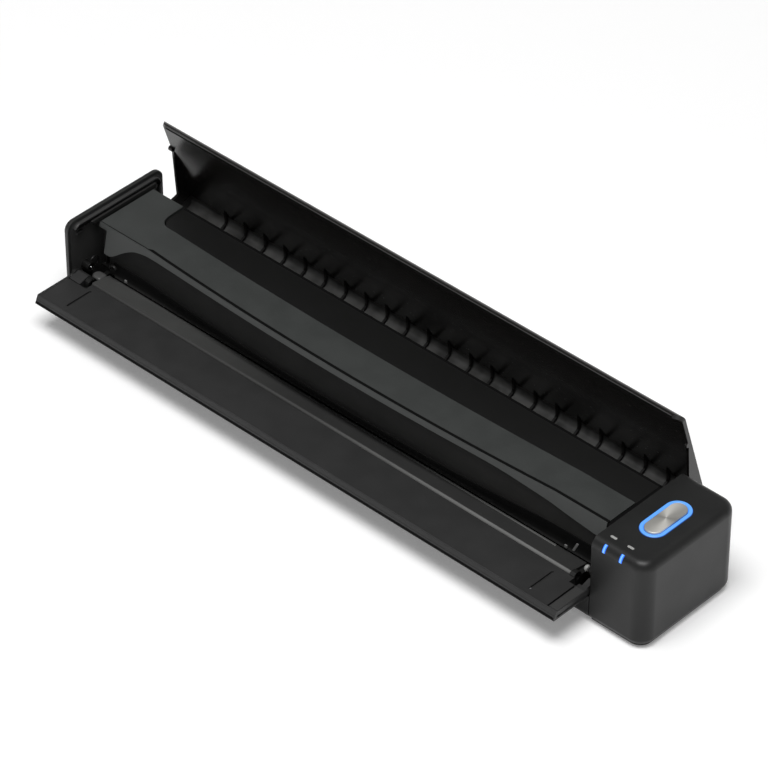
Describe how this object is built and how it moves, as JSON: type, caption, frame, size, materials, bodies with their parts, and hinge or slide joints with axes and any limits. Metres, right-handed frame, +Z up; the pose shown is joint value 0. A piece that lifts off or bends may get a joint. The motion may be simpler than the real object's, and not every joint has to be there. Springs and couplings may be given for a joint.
{
  "type": "portable sheet-fed document scanner",
  "caption": "Slim portable document scanner with a fold-down feed guide, a lift-up output guide, a roller paper path and a control block with a lit scan button.",
  "frame": {"origin": "centre of the open scanner's footprint, on the plane that its rubber pads stand on", "axes": "+X along the body towards the control block, +Y from the feed side to the output side, +Z up"},
  "size_m": [0.273, 0.0764, 0.061],
  "materials": {
    "charcoal_plastic": "satin dark charcoal",
    "soft_black_plastic": "fine matt black",
    "black_plastic": "satin black",
    "gloss_black_plastic": "polished black",
    "graphite_plastic": "satin graphite grey",
    "white_plastic": "plain white",
    "black_rubber": "matt rubber",
    "steel": "plain bright steel",
    "brushed_silver": "radially brushed silver",
    "clear_glass": "clear flat glass",
    "lit_blue": "lit light-blue window",
    "board_green": "green circuit board",
    "chip_black": "black moulding",
    "brass": "plain brass",
    "battery_wrap": "dark blue shrink wrap"
  },
  "bodies": {
    "base": {"base_tray": "charcoal_plastic", "left_end_cap": "charcoal_plastic", "right_housing": "charcoal_plastic", "paper_bed": "soft_black_plastic", "drive_bracket": "steel", "drive_motor": "steel", "light_ring": "lit_blue", "status_window_1": "lit_blue", "status_window_2": "lit_blue", "button_board": "board_green", "button_switch": "chip_black", "usb_socket": "steel", "io_board": "board_green", "battery_pack": "battery_wrap", "cover_switch": "chip_black", "paper_sensor": "chip_black", "reference_strip": "white_plastic", "shaft_bush_1": "white_plastic", "shaft_bush_2": "white_plastic", "shaft_bush_3": "white_plastic", "shaft_bush_4": "white_plastic", "cover_hinge_pin_1": "steel", "cover_hinge_pin_2": "steel", "base_screw_1": "steel", "base_screw_2": "steel", "base_screw_3": "steel", "base_screw_4": "steel", "base_screw_5": "steel", "base_screw_6": "steel", "rubber_foot_1": "black_rubber", "rubber_foot_2": "black_rubber", "rubber_foot_3": "black_rubber", "rubber_foot_4": "black_rubber"},
    "top_unit": {"upper_frame": "black_plastic", "top_cover": "graphite_plastic", "top_deck": "black_plastic", "mouth_face": "black_plastic", "sensor_housing": "chip_black", "sensor_glass": "clear_glass", "main_board": "board_green", "board_chip_1": "chip_black", "board_chip_2": "chip_black", "pinch_spring_1": "steel", "pinch_spring_2": "steel"},
    "output_guide": {"output_guide": "gloss_black_plastic"},
    "feed_guide": {"feed_guide": "soft_black_plastic", "feed_guide_liner": "soft_black_plastic"},
    "scan_button": {"scan_button": "brushed_silver"},
    "feed_roller": {"feed_roller_shaft": "steel", "feed_roller_tyres": "black_rubber", "feed_gear": "white_plastic"},
    "eject_roller": {"eject_roller_shaft": "steel", "eject_roller_tyres": "black_rubber", "eject_gear": "white_plastic"},
    "feed_pinch": {"feed_pinch_roller": "soft_black_plastic"},
    "eject_pinch": {"eject_pinch_roller": "soft_black_plastic"},
    "idler": {"idler_gear": "white_plastic"},
    "pinion": {"motor_pinion": "brass", "motor_shaft": "steel"}
  },
  "joints": [
    {"name": "feed_guide_swing", "type": "hinge", "parent": "base", "child": "feed_guide", "pos_m": [0, -0.01819, 0.0138], "axis": [-1, 0, 0], "range_deg": [0, 90]},
    {"name": "top_unit_lift", "type": "hinge", "parent": "base", "child": "top_unit", "pos_m": [0, 0.01941, 0.0182], "axis": [-1, 0, 0], "range_deg": [0, 12]},
    {"name": "output_guide_swing", "type": "hinge", "parent": "top_unit", "child": "output_guide", "pos_m": [0, 0.01941, 0.0182], "axis": [1, 0, 0], "range_deg": [0, 72.5]},
    {"name": "scan_button_press", "type": "slide", "parent": "base", "child": "scan_button", "axis": [0, 0, -1], "range_m": [0, 0.0005], "stiffness_N_per_m": 250, "springref_m": -0.0004},
    {"name": "feed_roller_spin", "type": "hinge", "parent": "base", "child": "feed_roller", "pos_m": [0, -0.00539, 0.0091], "axis": [1, 0, 0], "continuous": true},
    {"name": "eject_roller_spin", "type": "hinge", "parent": "base", "child": "eject_roller", "pos_m": [0, 0.01161, 0.0096], "axis": [1, 0, 0], "continuous": true},
    {"name": "feed_pinch_spin", "type": "hinge", "parent": "top_unit", "child": "feed_pinch", "pos_m": [0, -0.00539, 0.0166], "axis": [1, 0, 0], "continuous": true},
    {"name": "eject_pinch_spin", "type": "hinge", "parent": "top_unit", "child": "eject_pinch", "pos_m": [0, 0.01161, 0.0166], "axis": [1, 0, 0], "continuous": true},
    {"name": "idler_spin", "type": "hinge", "parent": "base", "child": "idler", "pos_m": [0, 0.00283, 0.01891], "axis": [1, 0, 0], "continuous": true},
    {"name": "motor_spin", "type": "hinge", "parent": "base", "child": "pinion", "pos_m": [0, -0.0082, 0.02086], "axis": [1, 0, 0], "continuous": true}
  ],
  "couplings": [
    {"joint": "eject_roller_spin", "follows": "feed_roller_spin", "ratio": 1},
    {"joint": "idler_spin", "follows": "feed_roller_spin", "ratio": -0.6},
    {"joint": "motor_spin", "follows": "feed_roller_spin", "ratio": 1.5},
    {"joint": "feed_pinch_spin", "follows": "feed_roller_spin", "ratio": -1.7308},
    {"joint": "eject_pinch_spin", "follows": "feed_roller_spin", "ratio": -1.5385}
  ]
}
